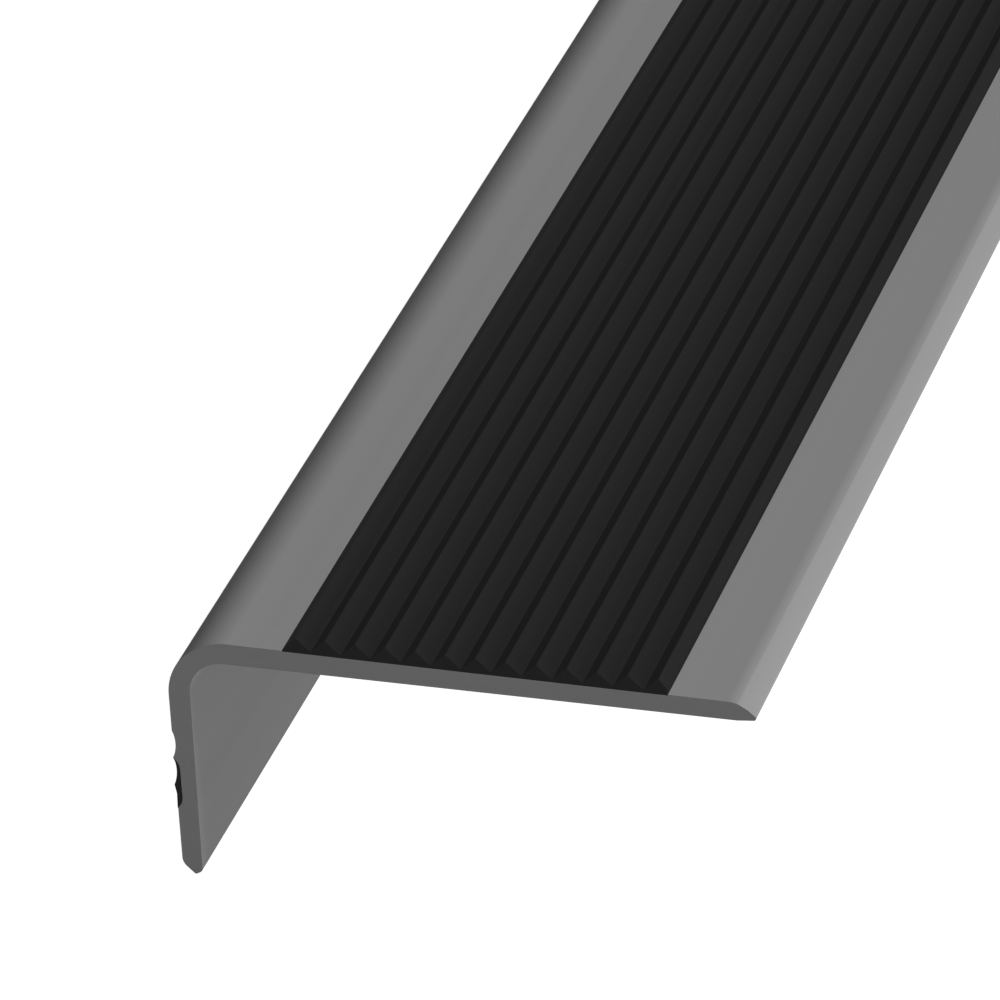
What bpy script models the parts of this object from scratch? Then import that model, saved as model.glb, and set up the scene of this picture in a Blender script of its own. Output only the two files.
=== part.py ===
"""Stair nosing: an extruded plastic angle that wraps the edge of a step.

The angle has a wide tread flange, a round nose and a short riser flange. A ribbed anti-slip strip
lies in a shallow seat on the tread, and a small strip lies in a pocket in the riser face.

The section is drawn flat: x runs from the riser's outer face to the back of the tread, y runs up,
and the corner where the two outer faces would meet is at (0, 0). Each outline is extruded along the
length and hangs on one empty, which leans the whole profile over onto its foot and its back edge,
the way it lies on a level floor. The origin is on that floor, under the middle of the profile.
"""
import math

import bmesh
import bpy
from mathutils import Matrix, Vector, geometry

# Whole profile, in metres
LENGTH = 1.000
TREAD_WIDTH = 0.0500
RISER_HEIGHT = 0.0227

# Flanges: both taper away from the nose, and the riser's outer face leans in a little
TREAD_WALL_AT_NOSE = 0.00197
TREAD_WALL_AT_BACK = 0.00168
RISER_WALL_AT_NOSE = 0.00192
RISER_WALL_AT_FOOT = 0.00172
RISER_LEAN = 0.00014

# Round nose
NOSE_OUTER_RADIUS = 0.0054
NOSE_INNER_RADIUS = 0.0031

# Back edge of the tread: a soft round that runs into a bevel of two flats, a blunt edge, and a
# shallow bevel below with a small corner
BACK_ROUND_RADIUS = 0.0031
BACK_ROUND_TURN = math.radians(18)
BACK_BEVEL_RUN = 0.00145
BACK_BEVEL_BULGE = 0.00008
BACK_EDGE_DEPTH = 0.00118
BACK_CORNER_RADIUS = 0.00018
UNDER_BEVEL_RUN = 0.00160
UNDER_BEVEL_RISE = 0.00016

# Foot of the riser: a round and a slope on the outer side, a small tip, and a short rise to the
# inner face
FOOT_TIP_SETBACK = 0.00109
FOOT_SLOPE = math.radians(43)
FOOT_RISE = math.radians(29)
FOOT_OUTER_RADIUS = 0.00120
FOOT_TIP_RADIUS = 0.00018
FOOT_INNER_RADIUS = 0.00050

# Ribbed strip on the tread, and the shallow seat that it is bonded in
STRIP_SETBACK = 0.01015
SEAT_DEPTH = 0.00010
BOND_LINE = 0.00005
STRIP_BASE = 0.00030
STRIP_FRONT_WALL = 0.00008
STRIP_BACK_WALL = 0.00050
RIB_COUNT = 13
RIB_PITCH = 0.002555
RIB_HEIGHT = 0.00108
RIB_CREST = 0.00010
RIB_VALLEY = 0.00016
FRONT_RIB_RUN = 0.00114
BACK_RIB_RUN = 0.00070

# Riser face: a scoop, a ridge, and the pocket with the small strip, which has a ridge of its own
SCOOP_START = 0.0089
RIDGE_PITCH = 0.00262
RIDGE_PROUD = 0.00005
RIDGE_LAND = 0.00010
SCOOP_DEPTH = 0.00026
POCKET_WIDTH = 0.00480
POCKET_DEPTH = 0.00046
POCKET_END_RUN = 0.00105
RISER_STRIP_RIDGE_PROUD = 0.00015
RISER_STRIP_RIDGE_FALL = 0.00085
RISER_STRIP_SCOOP_SAG = 0.00022

# Facets of the round stretches
NOSE_STEPS = 28
BACK_STEPS = 8
BEVEL_STEPS = 2
SMALL_STEPS = 10
SHARP_ANGLE = math.radians(28)
SAME_PLACE = 1e-6


def arc(centre, radius, start, end, steps):
    """Points on a circle from one angle to another, in degrees, both ends included."""
    angles = [math.radians(start + (end - start) * i / steps) for i in range(steps + 1)]
    return [centre + radius * Vector((math.cos(a), math.sin(a))) for a in angles]


def bow(start, end, sag, steps):
    """A shallow arc between two points, bulging by sag to the right of the way it runs."""
    chord = end - start
    side = Vector((chord.y, -chord.x)).normalized()
    radius = (chord.length ** 2 / 4 + sag ** 2) / (2 * abs(sag))
    half = math.asin(min(1.0, chord.length / 2 / radius))
    middle = (start + end) / 2
    points = []
    for i in range(steps + 1):
        turn = half * (2 * i / steps - 1)
        rise = radius * (math.cos(turn) - math.cos(half))
        points.append(middle + chord.normalized() * radius * math.sin(turn)
                      + side * math.copysign(rise, sag))
    return points


def fillet(before, corner, after, radius, steps):
    """The arc that rounds a corner between two straight stretches."""
    back = (before - corner).normalized()
    ahead = (after - corner).normalized()
    half = back.angle(ahead) / 2
    centre = corner + (back + ahead).normalized() * radius / math.sin(half)
    first = corner + back * radius / math.tan(half) - centre
    last = corner + ahead * radius / math.tan(half) - centre
    sweep = first.angle_signed(last)
    return [centre + Matrix.Rotation(-sweep * i / steps, 2) @ first for i in range(steps + 1)]


def riser_face(depth):
    """The point on the riser's plain outer face at a depth below the tread."""
    below_nose = (depth - NOSE_OUTER_RADIUS) / (RISER_HEIGHT - NOSE_OUTER_RADIUS)
    return Vector((RISER_LEAN * below_nose, -depth))


def tread_underside(x):
    """The point on the underside of the tread at a distance from the riser's face."""
    share = (x - RISER_WALL_AT_NOSE) / (TREAD_WIDTH - RISER_WALL_AT_NOSE)
    wall = TREAD_WALL_AT_NOSE + (TREAD_WALL_AT_BACK - TREAD_WALL_AT_NOSE) * share
    return Vector((x, -wall))


def riser_inside(depth):
    """The point on the riser's inner face at a depth below the tread."""
    share = (depth - TREAD_WALL_AT_NOSE) / (RISER_HEIGHT - TREAD_WALL_AT_NOSE)
    wall = RISER_WALL_AT_NOSE + (RISER_WALL_AT_FOOT - RISER_WALL_AT_NOSE) * share
    return Vector((riser_face(depth).x + wall, -depth))


def strip_width():
    return FRONT_RIB_RUN + (RIB_COUNT - 1) * RIB_PITCH + BACK_RIB_RUN


def leaned(points):
    """Points drawn on an upright riser face at x = 0, moved onto the face that leans in."""
    return [Vector((point.x + riser_face(-point.y).x, point.y)) for point in points]


def pocket_top():
    """Depth of the pocket's upper end, just under the ridge between it and the scoop."""
    return SCOOP_START + RIDGE_PITCH + RIDGE_LAND / 2


def pocket_wall(clearance):
    """The pocket's round ends and flat floor, from top to bottom, less a clearance inside it."""
    floor = POCKET_DEPTH - clearance
    radius = (POCKET_END_RUN ** 2 + POCKET_DEPTH ** 2) / (2 * POCKET_DEPTH) - clearance
    opening = math.degrees(math.acos((radius - floor) / radius))
    upper_end = -pocket_top() - POCKET_END_RUN
    lower_end = -pocket_top() - POCKET_WIDTH + POCKET_END_RUN
    points = arc(Vector((floor - radius, upper_end)), radius, opening, 0, SMALL_STEPS)
    points += arc(Vector((floor - radius, lower_end)), radius, 0, -opening, SMALL_STEPS)
    return points


def back_edge():
    """The soft round, the two flats, the blunt edge and the bevel below at the back of the tread."""
    round_end = TREAD_WIDTH - BACK_BEVEL_RUN
    centre = Vector((round_end - BACK_ROUND_RADIUS * math.sin(BACK_ROUND_TURN), -BACK_ROUND_RADIUS))
    points = arc(centre, BACK_ROUND_RADIUS, 90, 90 - math.degrees(BACK_ROUND_TURN), BACK_STEPS)
    edge_top = Vector((TREAD_WIDTH, -BACK_EDGE_DEPTH))
    points += bow(points[-1], edge_top, -BACK_BEVEL_BULGE, BEVEL_STEPS)[1:]
    edge_foot = tread_underside(TREAD_WIDTH) + Vector((0, UNDER_BEVEL_RISE))
    under_bevel = tread_underside(TREAD_WIDTH - UNDER_BEVEL_RUN)
    points += fillet(edge_top, edge_foot, under_bevel, BACK_CORNER_RADIUS, SMALL_STEPS)
    points += [under_bevel]
    return points


def foot():
    """The foot of the riser, from its inner face round the tip and up the slope outside."""
    tip = riser_face(RISER_HEIGHT) + Vector((FOOT_TIP_SETBACK, 0))
    inner_run = riser_inside(RISER_HEIGHT).x - tip.x
    inner = riser_inside(RISER_HEIGHT - inner_run * math.tan(FOOT_RISE))
    outer = riser_face(RISER_HEIGHT - FOOT_TIP_SETBACK * math.tan(FOOT_SLOPE))
    points = fillet(riser_inside(NOSE_OUTER_RADIUS), inner, tip, FOOT_INNER_RADIUS, SMALL_STEPS)
    points += fillet(inner, tip, outer, FOOT_TIP_RADIUS, SMALL_STEPS)
    points += fillet(tip, outer, riser_face(NOSE_OUTER_RADIUS), FOOT_OUTER_RADIUS, SMALL_STEPS)
    return points


def riser_relief():
    """The riser's outer face from the pocket's lower end up to the scoop's upper edge."""
    ridge_low = Vector((-RIDGE_PROUD, -pocket_top()))
    ridge_high = Vector((-RIDGE_PROUD, -pocket_top() + RIDGE_LAND))
    points = pocket_wall(0)[::-1]
    points += [ridge_low]
    points += bow(ridge_high, Vector((0, -SCOOP_START)), SCOOP_DEPTH, SMALL_STEPS)
    return leaned(points)


def profile_outline():
    """The angle's outline, clockwise from the start of the round nose."""
    nose_centre = Vector((NOSE_OUTER_RADIUS, -NOSE_OUTER_RADIUS))
    seat_back = STRIP_SETBACK + strip_width() + BOND_LINE
    points = arc(nose_centre, NOSE_OUTER_RADIUS, 180, 90, NOSE_STEPS)
    points += [Vector((STRIP_SETBACK - BOND_LINE, 0)),
               Vector((STRIP_SETBACK - BOND_LINE, -SEAT_DEPTH)),
               Vector((seat_back, -SEAT_DEPTH)),
               Vector((seat_back, 0))]
    points += back_edge()
    inner_corner = Vector((riser_inside(TREAD_WALL_AT_NOSE).x, -TREAD_WALL_AT_NOSE))
    points += fillet(tread_underside(TREAD_WIDTH), inner_corner, riser_inside(RISER_HEIGHT),
                     NOSE_INNER_RADIUS, NOSE_STEPS)
    points += foot()
    points += riser_relief()
    return points


def tread_strip_outline():
    """The ribbed strip: a thin base with a row of pointed ribs, from front to back."""
    bottom = BOND_LINE - SEAT_DEPTH
    valley = bottom + STRIP_BASE
    crest = valley + RIB_HEIGHT
    points = [Vector((STRIP_SETBACK, bottom)), Vector((STRIP_SETBACK, bottom + STRIP_FRONT_WALL))]
    for i in range(RIB_COUNT):
        peak = STRIP_SETBACK + FRONT_RIB_RUN + i * RIB_PITCH
        points += [Vector((peak - RIB_CREST / 2, crest)), Vector((peak + RIB_CREST / 2, crest))]
        if i < RIB_COUNT - 1:
            low = peak + RIB_PITCH / 2
            points += [Vector((low - RIB_VALLEY / 2, valley)), Vector((low + RIB_VALLEY / 2, valley))]
    back = STRIP_SETBACK + strip_width()
    points += [Vector((back, bottom + STRIP_BACK_WALL)), Vector((back, bottom))]
    return points


def riser_strip_outline():
    """The small strip: its back follows the pocket, its face has a flat, a ridge and a scoop."""
    ridge_depth = SCOOP_START + 2 * RIDGE_PITCH
    ridge = Vector((-RISER_STRIP_RIDGE_PROUD, -ridge_depth))
    points = pocket_wall(BOND_LINE)
    upper_end = points[0]
    points += [Vector((0, -ridge_depth - RISER_STRIP_RIDGE_FALL))]
    points += bow(ridge, upper_end, RISER_STRIP_SCOOP_SAG, SMALL_STEPS)
    return leaned(points)


def without_repeats(points):
    """Drops a point that lies on the one before it, where two stretches meet."""
    return [p for i, p in enumerate(points) if (p - points[i - 1]).length > SAME_PLACE]


def resting_angle(outline):
    """How far the profile leans on a level floor: the slope of its hull's longest side."""
    hull = [outline[i] for i in geometry.convex_hull_2d(outline)]
    sides = [(hull[i - 1], hull[i]) for i in range(len(hull))]
    low, high = max(sides, key=lambda side: (side[1] - side[0]).length)
    span = high - low if high.x > low.x else low - high
    return math.atan2(span.y, span.x)


def hex_colour(code):
    """A hex colour as the linear values that a shader takes."""
    channels = [int(code[i:i + 2], 16) / 255 for i in (0, 2, 4)]
    return [c / 12.92 if c <= 0.04045 else ((c + 0.055) / 1.055) ** 2.4 for c in channels] + [1.0]


def plastic(name, code, roughness):
    material = bpy.data.materials.new(name)
    material.use_nodes = True
    shader = material.node_tree.nodes["Principled BSDF"]
    shader.inputs["Base Color"].default_value = hex_colour(code)
    shader.inputs["Roughness"].default_value = roughness
    shader.inputs["Metallic"].default_value = 0.0
    material.diffuse_color = hex_colour(code)
    return material


def extruded(name, outline, parent, material, collection):
    """A flat outline extruded over the whole length, as one closed mesh."""
    curve = bpy.data.curves.new(name + "_outline", "CURVE")
    curve.dimensions = "2D"
    curve.fill_mode = "BOTH"
    curve.extrude = LENGTH / 2
    spline = curve.splines.new("POLY")
    spline.points.add(len(outline) - 1)
    for point, place in zip(spline.points, outline):
        point.co = (place.x, place.y, 0, 1)
    spline.use_cyclic_u = True

    drawing = bpy.data.objects.new(name + "_outline", curve)
    collection.objects.link(drawing)
    evaluated = drawing.evaluated_get(bpy.context.evaluated_depsgraph_get())
    mesh = bpy.data.meshes.new_from_object(evaluated)
    bpy.data.objects.remove(drawing)
    bpy.data.curves.remove(curve)
    mesh.name = name

    solid = bmesh.new()
    solid.from_mesh(mesh)
    bmesh.ops.remove_doubles(solid, verts=solid.verts, dist=SAME_PLACE)
    bmesh.ops.recalc_face_normals(solid, faces=solid.faces)
    if solid.calc_volume(signed=True) < 0:
        bmesh.ops.reverse_faces(solid, faces=solid.faces)
    solid.to_mesh(mesh)
    solid.free()
    mesh.materials.clear()
    mesh.materials.append(material)
    mesh.shade_smooth()
    mesh.set_sharp_from_angle(angle=SHARP_ANGLE)

    piece = bpy.data.objects.new(name, mesh)
    collection.objects.link(piece)
    piece.parent = parent
    piece.rotation_euler = (math.pi / 2, 0, 0)
    return piece


def resting_frame(outlines, collection):
    """The empty that leans the section over and stands it on the floor at the origin."""
    lean = resting_angle(outlines[0])
    turn = Matrix.Rotation(-lean, 2)
    turned = [turn @ point for outline in outlines for point in outline]
    across = [point.x for point in turned]
    lowest = min(point.y for point in turned)
    frame = bpy.data.objects.new("resting_frame", None)
    frame.empty_display_size = TREAD_WIDTH
    frame.rotation_euler = (0, lean, 0)
    frame.location = (-(min(across) + max(across)) / 2, 0, -lowest)
    collection.objects.link(frame)
    return frame


def clear_scene():
    for item in list(bpy.data.objects):
        bpy.data.objects.remove(item)


def main():
    clear_scene()
    collection = bpy.data.collections.new("stair_nosing")
    bpy.context.scene.collection.children.link(collection)

    profile = without_repeats(profile_outline())
    tread_strip = without_repeats(tread_strip_outline())
    riser_strip = without_repeats(riser_strip_outline())
    frame = resting_frame([profile, tread_strip, riser_strip], collection)

    grey = plastic("rigid_pvc_grey", "7C7C7E", 0.42)
    tread_black = plastic("soft_pvc_tread_black", "1C1C1D", 0.62)
    riser_black = plastic("soft_pvc_riser_black", "1C1C1D", 0.58)
    extruded("nosing_profile", profile, frame, grey, collection)
    extruded("tread_strip", tread_strip, frame, tread_black, collection)
    extruded("riser_strip", riser_strip, frame, riser_black, collection)


main()
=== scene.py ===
"""Looks of the stair nosing: extruded grey PVC angle with two black soft PVC strips.

The profile lies on a white floor on its foot and its back edge. Each solid is finished as a piece
with eased edges and a procedural plastic, and the camera stands where the photograph was taken,
close to the sawn end.
"""
import math

import bpy
from mathutils import Matrix, Vector


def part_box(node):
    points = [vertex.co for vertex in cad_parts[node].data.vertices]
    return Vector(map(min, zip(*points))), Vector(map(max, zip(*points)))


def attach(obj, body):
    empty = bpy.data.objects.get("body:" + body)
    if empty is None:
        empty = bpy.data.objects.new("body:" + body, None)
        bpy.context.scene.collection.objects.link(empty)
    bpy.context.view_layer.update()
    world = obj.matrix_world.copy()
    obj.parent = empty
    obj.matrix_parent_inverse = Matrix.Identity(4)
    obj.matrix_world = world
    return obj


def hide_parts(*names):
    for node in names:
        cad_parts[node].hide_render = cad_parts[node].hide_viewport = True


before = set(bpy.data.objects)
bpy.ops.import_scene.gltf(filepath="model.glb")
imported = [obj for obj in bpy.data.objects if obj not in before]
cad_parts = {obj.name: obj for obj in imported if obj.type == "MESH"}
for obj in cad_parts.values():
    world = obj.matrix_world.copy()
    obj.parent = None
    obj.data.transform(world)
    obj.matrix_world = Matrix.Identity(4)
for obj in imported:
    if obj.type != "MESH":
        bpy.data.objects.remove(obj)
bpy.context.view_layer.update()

MM = 0.001

# Camera: how it stands to the point that it looks at, which is on the tread behind the near end
PHOTO_LENS = 284.4
PHOTO_AZIMUTH = math.radians(28.093)
PHOTO_ELEVATION = math.radians(20.121)
PHOTO_ROLL = math.radians(-26.724)
PHOTO_DISTANCE = 0.66302
AIM_BEHIND_END = 27.626 * MM
AIM_FROM_MIDDLE = 0.278 * MM
AIM_HEIGHT = 13.137 * MM

# Edge rounding that extrusion and sawing leave
PROFILE_EDGE = 0.04 * MM
STRIP_EDGE = 0.025 * MM
EDGE_SEGMENTS = 2
SHARP_FROM = math.radians(25)

# A fold between this angle and a sharp one, as in the back bevel, is kept crisp and not rounded
CREASE_FROM = math.radians(12)

# Clean meshes: triangles join into whole faces, and rings cut the long faces into short ones
MERGE = 0.001 * MM
FLAT_WITHIN = math.radians(0.2)
RING_SPACING = 40 * MM

# How far a strip swells into its bond line, so that no lit gap shows round it, and how far off
# square a wall's normal may be
STRIP_BEDDING = 0.045 * MM
OFF_SQUARE = 0.1

# Saw marks run across the end at this angle
SAW_ANGLE = math.radians(38)

# Light: each sun's azimuth and elevation in degrees, measured as the camera's are, and its power
KEY_SUN = (98, 24, 3.98)
END_FILL_SUN = (0, 6, 0.31)
FRONT_FILL_SUN = (270, 8, 0.65)
STRIP_FILL_SUN = (300, 54, 1.98)
SUN_SPREAD = math.radians(25)

# Brightness of the room round the object, of the floor as matte and glossy faces see it, and of
# both as the camera sees them
ROOM_LEVEL = 0.01
FLOOR_GLOW = 1.00
FLOOR_SHEEN = 0.35
CAMERA_WHITE = 1.0
FLOOR_SIZE = 80.0


def linear(code):
    """An sRGB hex colour as linear values, opaque."""
    channels = [int(code[i:i + 2], 16) / 255 for i in (0, 2, 4)]
    return [c / 12.92 if c <= 0.04045 else ((c + 0.055) / 1.055) ** 2.4 for c in channels] + [1.0]


def add(tree, kind, inputs=None, **settings):
    """Adds a node, sets its properties, and sets or links its inputs."""
    node = tree.nodes.new(kind)
    for name, value in settings.items():
        setattr(node, name, value)
    for name, value in (inputs or {}).items():
        if isinstance(value, bpy.types.NodeSocket):
            tree.links.new(value, node.inputs[name])
        else:
            node.inputs[name].default_value = value
    return node


def per_mm(size_mm):
    """Pattern scale for features of a real size, on coordinates in metres."""
    return 1 / (size_mm * MM)


def new_material(name):
    """A material with an empty node tree."""
    material = bpy.data.materials.new(name)
    material.use_nodes = True
    tree = material.node_tree
    tree.nodes.clear()
    return material, tree


def streaks(tree, place, width_mm, length_mm, detail):
    """Noise drawn out along the length, as a die leaves it on an extrusion."""
    across = per_mm(width_mm)
    along = per_mm(length_mm)
    drawn = add(tree, "ShaderNodeMapping", {"Vector": place, "Scale": (across, along, across)})
    return add(tree, "ShaderNodeTexNoise", {"Vector": drawn.outputs["Vector"], "Scale": 1.0,
                                            "Detail": detail, "Roughness": 0.5})


def extruded_rigid_pvc():
    """Rigid PVC drawn through a die: an even, nearly matte skin with faint lines along the length.

    The sawn ends take a duller grey with a fine grain and saw marks across it, painted darker than
    the skin as painted shade on the ends. The skin of the real one shows no highlight, so its
    specular level is far below a plastic's usual 0.5.
    """
    material, tree = new_material("rigid_pvc_extruded_grey")
    place = add(tree, "ShaderNodeTexCoord").outputs["Object"]
    normal = add(tree, "ShaderNodeNewGeometry").outputs["Normal"]
    facing = add(tree, "ShaderNodeSeparateXYZ", {"Vector": normal}).outputs["Y"]
    along_length = add(tree, "ShaderNodeMath", {0: facing}, operation="ABSOLUTE").outputs[0]
    sawn = add(tree, "ShaderNodeMapRange", {"Value": along_length, "From Min": 0.6,
                                            "From Max": 0.9}).outputs["Result"]

    fine = streaks(tree, place, width_mm=0.28, length_mm=160, detail=2.0)
    broad = streaks(tree, place, width_mm=2.2, length_mm=420, detail=1.0)
    skin = add(tree, "ShaderNodeMixRGB", {"Fac": broad.outputs["Fac"], "Color1": linear("7B7B7B"),
                                          "Color2": linear("818181")})
    core_grain = add(tree, "ShaderNodeTexNoise", {"Vector": place, "Scale": per_mm(0.35),
                                                  "Detail": 3.0, "Roughness": 0.6})
    # Painted shade: the sawn ends get a darker grey than the skin, standing for the shade that
    # falls on the ends; the noise in it is the cut's own grain
    end_grain_and_painted_shade = add(tree, "ShaderNodeMixRGB", {"Fac": core_grain.outputs["Fac"],
                                          "Color1": linear("6C6C6C"), "Color2": linear("707070")})
    colour = add(tree, "ShaderNodeMixRGB", {"Fac": sawn, "Color1": skin.outputs["Color"],
                                            "Color2": end_grain_and_painted_shade.outputs["Color"]})

    drawn_skin = add(tree, "ShaderNodeMapRange", {"Value": fine.outputs["Fac"], "To Min": 0.46,
                                                  "To Max": 0.56})
    roughness = add(tree, "ShaderNodeMix", {"Factor": sawn, "A": drawn_skin.outputs["Result"],
                                            "B": 0.72}, data_type="FLOAT")

    slanted = add(tree, "ShaderNodeMapping", {"Vector": place, "Rotation": (0, SAW_ANGLE, 0),
                                              "Scale": (per_mm(0.42), 1.0, per_mm(9.0))})
    saw_marks = add(tree, "ShaderNodeTexNoise", {"Vector": slanted.outputs["Vector"], "Scale": 1.0,
                                                 "Detail": 2.0})
    relief = add(tree, "ShaderNodeMix", {"Factor": sawn, "A": fine.outputs["Fac"],
                                         "B": saw_marks.outputs["Fac"]}, data_type="FLOAT")
    bump = add(tree, "ShaderNodeBump", {"Height": relief.outputs["Result"], "Strength": 0.6,
                                        "Distance": 0.004 * MM})
    shader = add(tree, "ShaderNodeBsdfPrincipled", {"Base Color": colour.outputs["Color"],
                                                    "Roughness": roughness.outputs["Result"],
                                                    "IOR": 1.5, "Specular IOR Level": 0.05,
                                                    "Normal": bump.outputs["Normal"]})
    add(tree, "ShaderNodeOutputMaterial", {"Surface": shader.outputs["BSDF"]})
    return material


def extruded_soft_pvc(name):
    """Flexible PVC: near black and matte, with a dry grain and faint lines along the length.

    Its specular level is lower still than the angle's, because any gloss on the ribs would mirror
    the grey tread beside them.
    """
    material, tree = new_material(name)
    place = add(tree, "ShaderNodeTexCoord").outputs["Object"]
    grain = add(tree, "ShaderNodeTexNoise", {"Vector": place, "Scale": per_mm(0.22),
                                             "Detail": 3.0, "Roughness": 0.6})
    lines = streaks(tree, place, width_mm=0.35, length_mm=120, detail=2.0)
    colour = add(tree, "ShaderNodeMixRGB", {"Fac": lines.outputs["Fac"],
                                            "Color1": linear("1D1D1D"), "Color2": linear("212121")})
    roughness = add(tree, "ShaderNodeMapRange", {"Value": grain.outputs["Fac"], "To Min": 0.46,
                                                 "To Max": 0.58})
    relief = add(tree, "ShaderNodeMath", {0: grain.outputs["Fac"], 1: lines.outputs["Fac"]},
                 operation="ADD")
    bump = add(tree, "ShaderNodeBump", {"Height": relief.outputs[0], "Strength": 0.5,
                                        "Distance": 0.003 * MM})
    shader = add(tree, "ShaderNodeBsdfPrincipled", {"Base Color": colour.outputs["Color"],
                                                    "Roughness": roughness.outputs["Result"],
                                                    "IOR": 1.5, "Specular IOR Level": 0.02,
                                                    "Normal": bump.outputs["Normal"]})
    add(tree, "ShaderNodeOutputMaterial", {"Surface": shader.outputs["BSDF"]})
    return material


def white_floor_board():
    """A matte board lit from below: white to the eye, with a soft glow and sheen on the object."""
    material, tree = new_material("white_light_board")
    path = add(tree, "ShaderNodeLightPath")
    onto_object = add(tree, "ShaderNodeMix", {"Factor": path.outputs["Is Glossy Ray"],
                                              "A": FLOOR_GLOW, "B": FLOOR_SHEEN},
                      data_type="FLOAT")
    glow = add(tree, "ShaderNodeMix", {"Factor": path.outputs["Is Camera Ray"],
                                       "A": onto_object.outputs["Result"], "B": CAMERA_WHITE},
               data_type="FLOAT")
    shader = add(tree, "ShaderNodeBsdfPrincipled", {"Base Color": linear("A0A0A0"),
                                                    "Roughness": 0.9, "Specular IOR Level": 0.1,
                                                    "Emission Color": linear("FFFFFF"),
                                                    "Emission Strength": glow.outputs["Result"]})
    add(tree, "ShaderNodeOutputMaterial", {"Surface": shader.outputs["BSDF"]})
    material.cycles.emission_sampling = "NONE"
    return material


def edit_all(piece):
    """Selects one piece alone and opens all of it for editing."""
    bpy.ops.object.select_all(action="DESELECT")
    piece.select_set(True)
    bpy.context.view_layer.objects.active = piece
    bpy.ops.object.mode_set(mode="EDIT")
    bpy.ops.mesh.select_all(action="SELECT")


def apply_all(piece):
    """Makes the piece's modifiers part of its mesh."""
    for modifier in list(piece.modifiers):
        bpy.ops.object.modifier_apply(modifier=modifier.name)


def bed_in(strip, near_end, far_end):
    """In edit mode, moves a strip's underside and walls against its seat, not its ribs and ends."""
    faces = strip.data.polygons
    down = max(faces, key=lambda face: face.area).normal.copy()
    bpy.ops.mesh.select_all(action="DESELECT")
    bpy.ops.object.mode_set(mode="OBJECT")
    for face in faces:
        face.select = abs(face.normal.y) < OFF_SQUARE and face.normal.dot(down) > -OFF_SQUARE
    bpy.ops.object.mode_set(mode="EDIT")
    bpy.ops.transform.shrink_fatten(value=STRIP_BEDDING, use_even_offset=True)
    bpy.ops.object.mode_set(mode="OBJECT")
    for vertex in strip.data.vertices:
        vertex.co.y = min(max(vertex.co.y, near_end), far_end)
    bpy.ops.object.mode_set(mode="EDIT")


def finished(node, name, edge, material, bedded=False):
    """A copy of a solid with whole faces, rings along its length, and eased edges."""
    piece = bpy.data.objects.new(name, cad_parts[node].data.copy())
    piece.data.name = name
    bpy.context.scene.collection.objects.link(piece)
    edit_all(piece)
    bpy.ops.mesh.remove_doubles(threshold=MERGE)
    bpy.ops.mesh.dissolve_limited(angle_limit=FLAT_WITHIN)
    low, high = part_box(node)
    if bedded:
        bed_in(piece, low.y, high.y)
    rings = round((high.y - low.y) / RING_SPACING)
    for i in range(1, rings):
        bpy.ops.mesh.select_all(action="SELECT")
        bpy.ops.mesh.bisect(plane_co=(0, low.y + (high.y - low.y) * i / rings, 0),
                            plane_no=(0, 1, 0))
    bpy.ops.mesh.select_mode(type="EDGE")
    for angle, eased_later in ((CREASE_FROM, False), (SHARP_FROM, True)):
        bpy.ops.mesh.select_all(action="DESELECT")
        bpy.ops.mesh.edges_select_sharp(sharpness=angle)
        bpy.ops.mesh.mark_sharp(clear=eased_later)
    bpy.ops.object.mode_set(mode="OBJECT")

    eased = piece.modifiers.new("eased_edges", "BEVEL")
    eased.limit_method = "ANGLE"
    eased.angle_limit = SHARP_FROM
    eased.width = edge
    eased.segments = EDGE_SEGMENTS
    apply_all(piece)
    edit_all(piece)
    bpy.ops.mesh.remove_doubles(threshold=MERGE)
    bpy.ops.object.mode_set(mode="OBJECT")
    bpy.ops.object.shade_smooth()
    weighted = piece.modifiers.new("flat_faces_stay_flat", "WEIGHTED_NORMAL")
    weighted.weight = 100
    weighted.keep_sharp = True
    apply_all(piece)

    piece.data.materials.clear()
    piece.data.materials.append(material)
    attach(piece, "root")
    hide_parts(node)
    return piece


def nosing():
    """The angle and its two strips, each finished from its own CAD node where the model places it.
    """
    profile = finished("nosing_profile", "profile", PROFILE_EDGE, extruded_rigid_pvc())
    tread = finished("tread_strip", "ribbed_tread_strip", STRIP_EDGE,
                     extruded_soft_pvc("soft_pvc_extruded_black_tread"), bedded=True)
    riser = finished("riser_strip", "ridged_riser_strip", STRIP_EDGE,
                     extruded_soft_pvc("soft_pvc_extruded_black_riser"), bedded=True)
    return profile, (tread, riser)


def floor():
    """A white board, so large that its edge is never in view."""
    bpy.ops.object.select_all(action="DESELECT")
    bpy.ops.mesh.primitive_plane_add(size=FLOOR_SIZE, location=(0, 0, 0))
    board = bpy.context.active_object
    board.name = "floor"
    board.data.materials.append(white_floor_board())


def soft_sun(name, sun, blockers):
    """A broad even light that doesn't show in the gloss, and that only the blockers shade."""
    azimuth, elevation, power = sun
    light = bpy.data.lights.new(name, "SUN")
    light.energy = power
    light.angle = SUN_SPREAD
    lamp = bpy.data.objects.new(name, light)
    round_by = math.radians(azimuth)
    up_by = math.radians(elevation)
    towards = Vector((math.sin(round_by) * math.cos(up_by), -math.cos(round_by) * math.cos(up_by),
                      math.sin(up_by)))
    lamp.rotation_mode = "QUATERNION"
    lamp.rotation_quaternion = towards.to_track_quat("Z", "Y")
    lamp.visible_glossy = False
    lamp.light_linking.blocker_collection = blockers
    bpy.context.scene.collection.objects.link(lamp)
    return lamp


def collection_of(name, pieces):
    """A collection that isn't in the scene and only names pieces for light linking."""
    group = bpy.data.collections.new(name)
    for piece in pieces:
        group.objects.link(piece)
    return group


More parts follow.
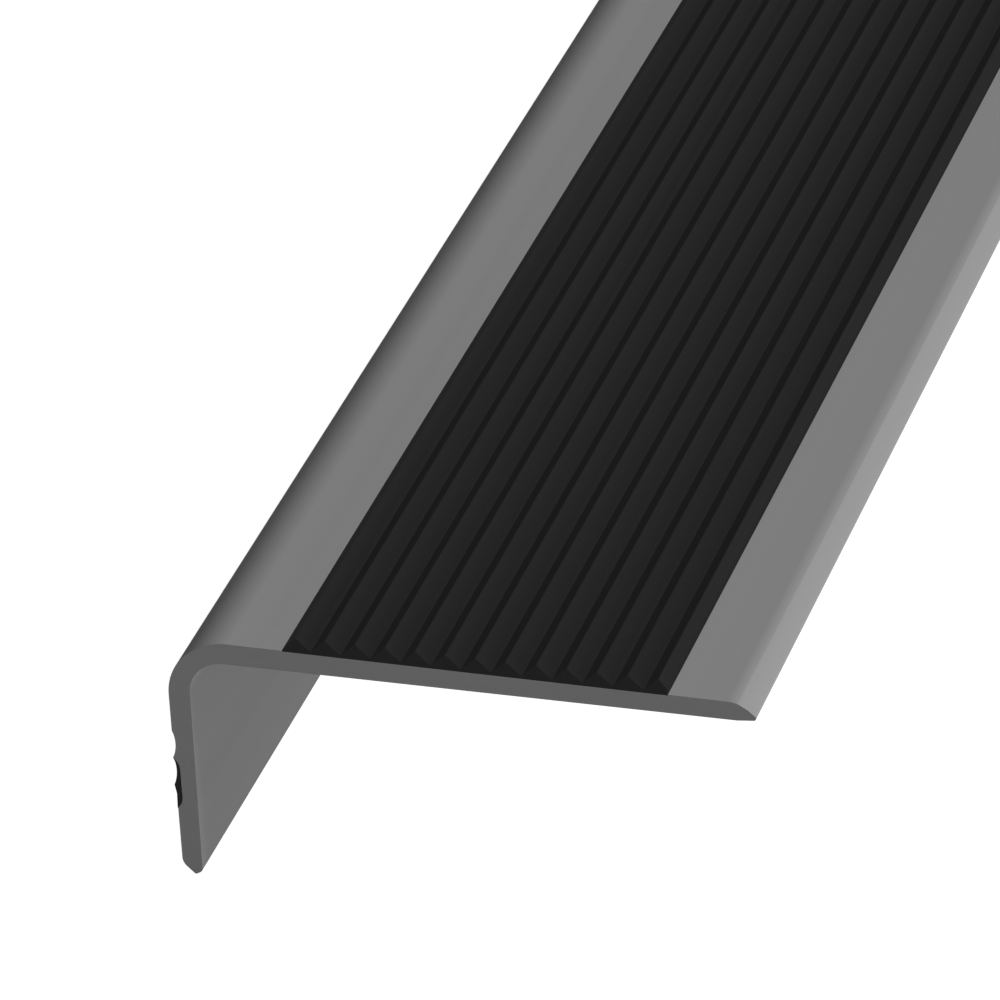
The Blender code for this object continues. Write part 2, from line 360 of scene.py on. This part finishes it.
def lights(profile, strips):
    """Soft suns from three sides, and one that falls on the strips alone and shows their ribs.

    The strips throw no shadow on the angle, which keeps its flat faces even. The room is dark to
    the object and white to the camera.
    """
    blockers = collection_of("throws_shadow", [profile])
    soft_sun("key_from_the_back_edge", KEY_SUN, blockers)
    soft_sun("fill_from_the_near_end", END_FILL_SUN, blockers)
    soft_sun("fill_from_the_riser", FRONT_FILL_SUN, blockers)
    on_the_ribs = soft_sun("fill_on_the_strips", STRIP_FILL_SUN, blockers)
    on_the_ribs.light_linking.receiver_collection = collection_of("lit_by_strip_fill", strips)
    world = bpy.data.worlds.new("studio")
    world.use_nodes = True
    tree = world.node_tree
    tree.nodes.clear()
    seen = add(tree, "ShaderNodeLightPath").outputs["Is Camera Ray"]
    room = add(tree, "ShaderNodeBackground", {"Color": linear("FFFFFF"), "Strength": ROOM_LEVEL})
    backdrop = add(tree, "ShaderNodeBackground", {"Color": linear("FFFFFF"),
                                                  "Strength": CAMERA_WHITE})
    mixed = add(tree, "ShaderNodeMixShader", {0: seen, 1: room.outputs[0], 2: backdrop.outputs[0]})
    add(tree, "ShaderNodeOutputWorld", {"Surface": mixed.outputs[0]})
    bpy.context.scene.world = world


def camera():
    """The photograph's camera: long lens, from above the back edge, turned about its own axis."""
    near_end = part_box("nosing_profile")[0].y
    aim = Vector((AIM_FROM_MIDDLE, near_end + AIM_BEHIND_END, AIM_HEIGHT))
    forward = Vector((-math.sin(PHOTO_AZIMUTH) * math.cos(PHOTO_ELEVATION),
                      math.cos(PHOTO_AZIMUTH) * math.cos(PHOTO_ELEVATION),
                      -math.sin(PHOTO_ELEVATION)))
    lens = bpy.data.cameras.new("photo_camera")
    lens.lens = PHOTO_LENS
    lens.clip_start = 0.05
    lens.clip_end = 200
    view = bpy.data.objects.new("photo_camera", lens)
    level = forward.to_track_quat("-Z", "Y").to_matrix()
    view.rotation_mode = "QUATERNION"
    view.rotation_quaternion = (level @ Matrix.Rotation(PHOTO_ROLL, 3, "Z")).to_quaternion()
    view.location = aim - forward * PHOTO_DISTANCE
    bpy.context.scene.collection.objects.link(view)
    bpy.context.scene.camera = view


profile, strips = nosing()
floor()
lights(profile, strips)
camera()
bpy.context.scene.view_settings.view_transform = "Standard"
